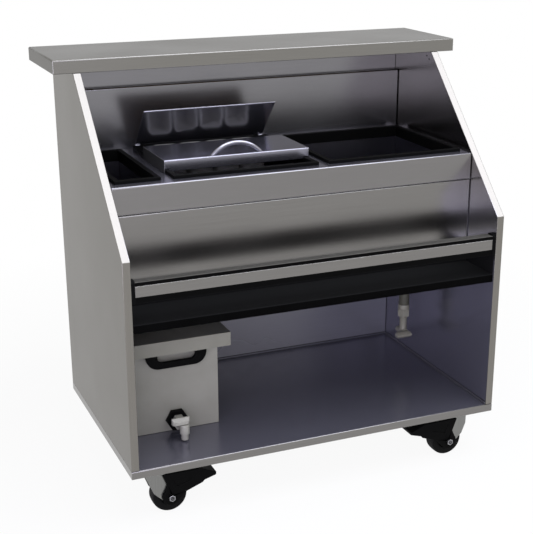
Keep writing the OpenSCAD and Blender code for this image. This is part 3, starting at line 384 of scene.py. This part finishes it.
def skinned(name, points, body, finishes, finish_of_row=None):
    """A closed skin over a grid of points in millimetres, rows by columns, and its piece on a body.

    Columns always run round and close; rows close too when the last row meets the first, and otherwise end in
    poles, where a row has shrunk to a point. Doubles are merged and the faces turned outwards.
    """
    rows, columns = points.shape[:2]
    cell = np.arange(rows * columns).reshape(rows, columns)
    side = np.roll(cell, -1, axis=1)
    quads = np.stack([cell[:-1], side[:-1], side[1:], cell[1:]], axis=-1).reshape(-1, 4)
    mesh = bpy.data.meshes.new(name)
    mesh.from_pydata((points.reshape(-1, 3) * MM).tolist(), [], quads.tolist())
    for material in finishes:
        mesh.materials.append(material)
    if finish_of_row is not None:
        mesh.polygons.foreach_set("material_index", np.repeat(finish_of_row, columns).astype(np.int32))
    work = bmesh.new()
    work.from_mesh(mesh)
    bmesh.ops.remove_doubles(work, verts=work.verts, dist=MERGE * MM)
    bmesh.ops.recalc_face_normals(work, faces=work.faces)
    work.to_mesh(mesh)
    work.free()
    mesh.polygons.foreach_set("use_smooth", np.ones(len(mesh.polygons), dtype=bool))
    mesh.set_sharp_from_angle(angle=SMOOTH_TO)
    piece = bpy.data.objects.new(name, mesh)
    bpy.context.collection.objects.link(piece)
    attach(piece, body)
    return piece


def turned(section, centre, axis, steps):
    """A section of (radius, distance along the axis) carried once round an axis through centre.

    A point is centre + distance * axis + radius * (cos a, sin a) in the plane across the axis.
    """
    angle = np.linspace(0, 2 * pi, steps, endpoint=False)
    radius, along = section[:, :1], section[:, 1:]
    first, second = [k for k in range(3) if k != axis]
    points = np.zeros((len(section), steps, 3)) + centre
    points[..., axis] += along
    points[..., first] += radius * np.cos(angle)
    points[..., second] += radius * np.sin(angle)
    return points


HUB_RADIUS, TREAD_RADIUS = 29.4, 47.5  # where the hub meets the tyre, and the tyre's wall meets the tread


def wheel_section():
    """The closed section of a caster wheel: radius and distance from the wheel's middle plane.

    From the bore: the boss, a fillet to the sunk face of the hub, a fillet to the hub's rim, the seam between
    hub and tyre, the tyre's wall bulging as a quarter sine, a superellipse shoulder of exponent 2.6, and a
    tread crowned as a parabola. The other half mirrors it.
    """
    boss, rim, tyre, shoulder, tread = 13.0, 27.0, 30.4, 43.0, 49.4  # the radius at which each begins
    sunk, flat, side = 15.0, 12.0, 20.0  # distances of the sunk face, the tread's edge and the wheel's side
    fillet, bulge, crown, power = 1.5, 0.7, 0.6, 2 / 2.6
    arc = np.linspace(0, pi / 2, 7)
    share = np.linspace(0.08, 1, 8)
    turn = np.linspace(0.06, pi / 2, 14)
    reach = np.linspace(11, 0, 8)
    deep = sunk + fillet
    half = np.concatenate([
        [(5.3, 0), (5.3, 19.4), (5.9, side), (12.2, side), (boss, 19.2)],
        np.stack([boss + fillet - fillet * np.cos(arc), deep - fillet * np.sin(arc)], axis=1),
        np.stack([rim - fillet + fillet * np.sin(arc), deep - fillet * np.cos(arc)], axis=1),
        [(rim, 18.6), (27.8, 19.4), (29.2, 19.4), (29.5, 18.4), (30.1, 18.4), (tyre, side - bulge)],
        np.stack([tyre + (shoulder - tyre) * share, side - bulge + bulge * np.sin(pi / 2 * share)], axis=1),
        np.stack([shoulder + (tread - shoulder) * np.sin(turn) ** power,
                  flat + (side - flat) * np.cos(turn) ** power], axis=1),
        np.stack([tread + crown * (1 - (reach / flat) ** 2), reach], axis=1)])
    return np.concatenate([half, half[-2::-1] * [1, -1]])


def bolt_section():
    """The end of an axle bolt: radius and distance in from the end of the CAD axle.

    A groove and a half of thread, 0.3 mm deep, follows a sine without its sign. A chamfer and a drilled centre
    close the end.
    """
    share = np.linspace(1, 0, 25)
    thread = np.stack([5.1 - 0.3 * np.abs(np.sin(1.5 * pi * share)), 0.5 + 1.4 * share], axis=1)
    return np.concatenate([[(0, 1.9)], thread, [(4.4, -0.1), (1.6, -0.1), (0, 0.7)]])


wheel, bolt = wheel_section(), bolt_section()
ring_radius = (wheel[:-1, 0] + wheel[1:, 0]) / 2
ring_finish = np.where(ring_radius < HUB_RADIUS, 1, np.where(ring_radius > TREAD_RADIUS, 2, 0))
for corner in CORNERS:
    depth, side = corner.split("_")
    hand = -1 if side == "left" else 1
    middle = AXLE * [hand, 1, 1] + [0, CASTER_Y[depth], 0]
    tyre = skinned(corner + "_tyre_and_hub", turned(wheel, middle, axis=1, steps=96), corner + "_wheel",
                   [rubber, black_moulding, tread_rubber], ring_finish)
    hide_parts(corner + "_wheel")
    tip = middle * [1, 0, 1] + [0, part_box(corner + "_axle")[0][1] / MM, 0]
    skinned(corner + "_axle_bolt_end", turned(bolt, tip, axis=1, steps=48), corner + "_caster",
            [black_oxide])


def bead(path, radius, steps=16):
    """A round bead along a path: every point is ringed by a circle that shrinks to nothing at both ends.

    At a share s of the length, the circle's radius is radius * (1 - |2 s - 1| ** 12) ** 0.5; it lies across
    the path, in the plane of the depth axis and of the path's own normal.
    """
    step = np.linalg.norm(np.diff(path, axis=0), axis=1)
    share = np.concatenate([[0], np.cumsum(step)]) / step.sum()
    ring = radius * np.sqrt(np.maximum(1 - np.abs(2 * share - 1) ** 12, 0))
    ahead = np.gradient(path, axis=0)
    ahead /= np.linalg.norm(ahead, axis=1)[:, None]
    depth = np.array([0.0, 1.0, 0.0])
    normal = np.cross(ahead, depth)
    angle = np.linspace(0, 2 * pi, steps, endpoint=False)[None, :, None]
    return path[:, None] + ring[:, None, None] * (np.cos(angle) * normal[:, None] + np.sin(angle) * depth)


def bead_route(start, corner, end):
    """Straight from start to near the corner, round it on a quadratic curve, and straight on to the end.

    Points that the straights and the curve share count once.
    """
    leave, meet = 0.8, 0.1  # the shares of the first and the last straight at which the curve starts and ends
    bend = np.linspace(0, 1, 41)[:, None]
    first = start + (corner - start) * np.linspace(0, leave, 20)[:, None]
    last = corner + (end - corner) * np.linspace(meet, 1, 30)[:, None]
    curve = (1 - bend) ** 2 * first[-1] + 2 * bend * (1 - bend) * corner + bend ** 2 * last[0]
    route = np.concatenate([first, curve, last])
    apart = np.linalg.norm(np.diff(route, axis=0), axis=1) > 1e-6
    return route[np.concatenate([[True], apart])]


# The stiffening bead on each cheek of a foot brake: down from the top, round a corner and up the arm, given
# across and up from the axle
BEAD_RADIUS = 1.3
CHEEK = 36.0  # the cheek's outer face from the caster's middle
route = bead_route(*np.array([[3.5, 56.0], [15.5, 30.0], [62.0, 43.5]]))
for corner, hand in (("front_left", 1), ("front_right", -1)):
    for cheek, out in (("outer", -1), ("inner", 1)):
        cheek_y = np.full(len(route), CASTER_Y["front"] + out * CHEEK)
        path = np.stack([hand * (route[:, 0] - AXLE[0]), cheek_y, route[:, 1] + AXLE[2]], axis=1)
        skinned(corner + "_brake_bead_" + cheek, bead(path, BEAD_RADIUS), corner + "_brake",
                [black_moulding])

# Two rivet heads high on the right panel's inner face: half-sunk lenses, an ellipse turned about the rivet
RIVETS = ((535.0, 76.5, 1142.5), (535.0, 62.6, 1134.4))
lens = np.linspace(-pi / 2, pi / 2, 13)
head = np.stack([2.6 * np.cos(lens), 1.1 * np.sin(lens)], axis=1)
for number, place in enumerate(RIVETS, 1):
    skinned("panel_rivet_%d" % number, turned(head, np.array(place), axis=0, steps=24), "unit",
            [black_oxide])


# The studio, in metres: a pale floor, a white surround and soft lamps
def looked_at(tree):
    """1 for rays from the camera, from a reflection or through glass, else 0."""
    ray = add(tree, "ShaderNodeLightPath").outputs
    seen = add(tree, "ShaderNodeMath", {0: ray["Is Camera Ray"], 1: ray["Is Glossy Ray"]}, operation="MAXIMUM")
    return add(tree, "ShaderNodeMath", {0: seen, 1: ray["Is Transmission Ray"]}, operation="MAXIMUM")


def soft_lamp(name, place, turn, size, radiance, colour):
    """A rectangular soft lamp, turned by angles in degrees.

    Its power is pi times its area times radiance, the brightness of its face.
    """
    lamp = bpy.data.lights.new(name, "AREA")
    lamp.shape, lamp.size, lamp.size_y = "RECTANGLE", *size
    lamp.energy = pi * size[0] * size[1] * radiance
    lamp.color = linear(colour)[:3]
    holder = bpy.data.objects.new(name, lamp)
    bpy.context.collection.objects.link(holder)
    holder.location = place
    holder.rotation_euler = [radians(angle) for angle in turn]


WHITE = linear("#ffffff")
world = bpy.data.worlds.new("studio")
bpy.context.scene.world = world
world.use_nodes = True
sky = world.node_tree
sky.nodes.clear()
# The surround lights the unit softly, and is seen as plain white
lit = add(sky, "ShaderNodeBackground", {"Color": WHITE, "Strength": 0.35})
shown = add(sky, "ShaderNodeBackground", {"Color": WHITE, "Strength": 1.0})
both = add(sky, "ShaderNodeMixShader", {0: looked_at(sky), 1: lit, 2: shown})
add(sky, "ShaderNodeOutputWorld", {"Surface": both})

FLOOR = 30.0  # half the floor's side
SHADOW_REACH = (1.0, 2.2)  # the floor's shadow fades out between these distances from the middle
SHADOW_WHITE = 0.93  # how far the floor near the unit is plain white, and the rest shows the shadow
floor_mesh = bpy.data.meshes.new("floor")
floor_mesh.from_pydata([(-FLOOR, -FLOOR, 0), (FLOOR, -FLOOR, 0), (FLOOR, FLOOR, 0), (-FLOOR, FLOOR, 0)], [],
                       [(0, 1, 2, 3)])
floor = bpy.data.objects.new("floor", floor_mesh)
bpy.context.collection.objects.link(floor)
floor_paint = bpy.data.materials.new("floor_white_paint")
floor_paint.use_nodes = True
tree = floor_paint.node_tree
tree.nodes.clear()
away = add(tree, "ShaderNodeVectorMath", {0: add(tree, "ShaderNodeTexCoord").outputs["Object"]},
           operation="LENGTH")
white = add(tree, "ShaderNodeMapRange", {"Value": away, "From Min": SHADOW_REACH[0],
                                         "From Max": SHADOW_REACH[1], "To Min": SHADOW_WHITE})
share = add(tree, "ShaderNodeMath", {0: looked_at(tree), 1: white}, operation="MULTIPLY")
matt = add(tree, "ShaderNodeBsdfDiffuse", {"Color": linear("#e8e8e8")})
glow = add(tree, "ShaderNodeEmission", {"Color": WHITE, "Strength": 1.0})
both = add(tree, "ShaderNodeMixShader", {0: share, 1: matt, 2: glow})
add(tree, "ShaderNodeOutputMaterial", {"Surface": both})
floor_mesh.materials.append(floor_paint)

soft_lamp("lamp_overhead", (1.0, -1.2, 3.0), (0, 0, 0), (3.6, 2.6), 4.25, "#eef2ff")
soft_lamp("lamp_front_left", (-1.55, -2.2, 1.06), (90, 0, -30), (2.2, 2.1), 3.2, "#e6e4ff")

# The camera, solved from the picture's straight edges: place in metres, turns in degrees
EYE = (-1.2738, -3.0377, 1.6271)
DOWN, TO_RIGHT = 19.62, 23.0976
camera = bpy.data.cameras.new("camera")
camera.lens, camera.sensor_width = 78.73, 36.0
camera.shift_x, camera.shift_y = -0.02643, 0.0651
camera.clip_end = 100
eye = bpy.data.objects.new("camera", camera)
bpy.context.collection.objects.link(eye)
eye.location = EYE
eye.rotation_euler = (radians(90 - DOWN), 0, radians(-TO_RIGHT))
bpy.context.scene.camera = eye
bpy.context.scene.view_settings.view_transform = "Standard"
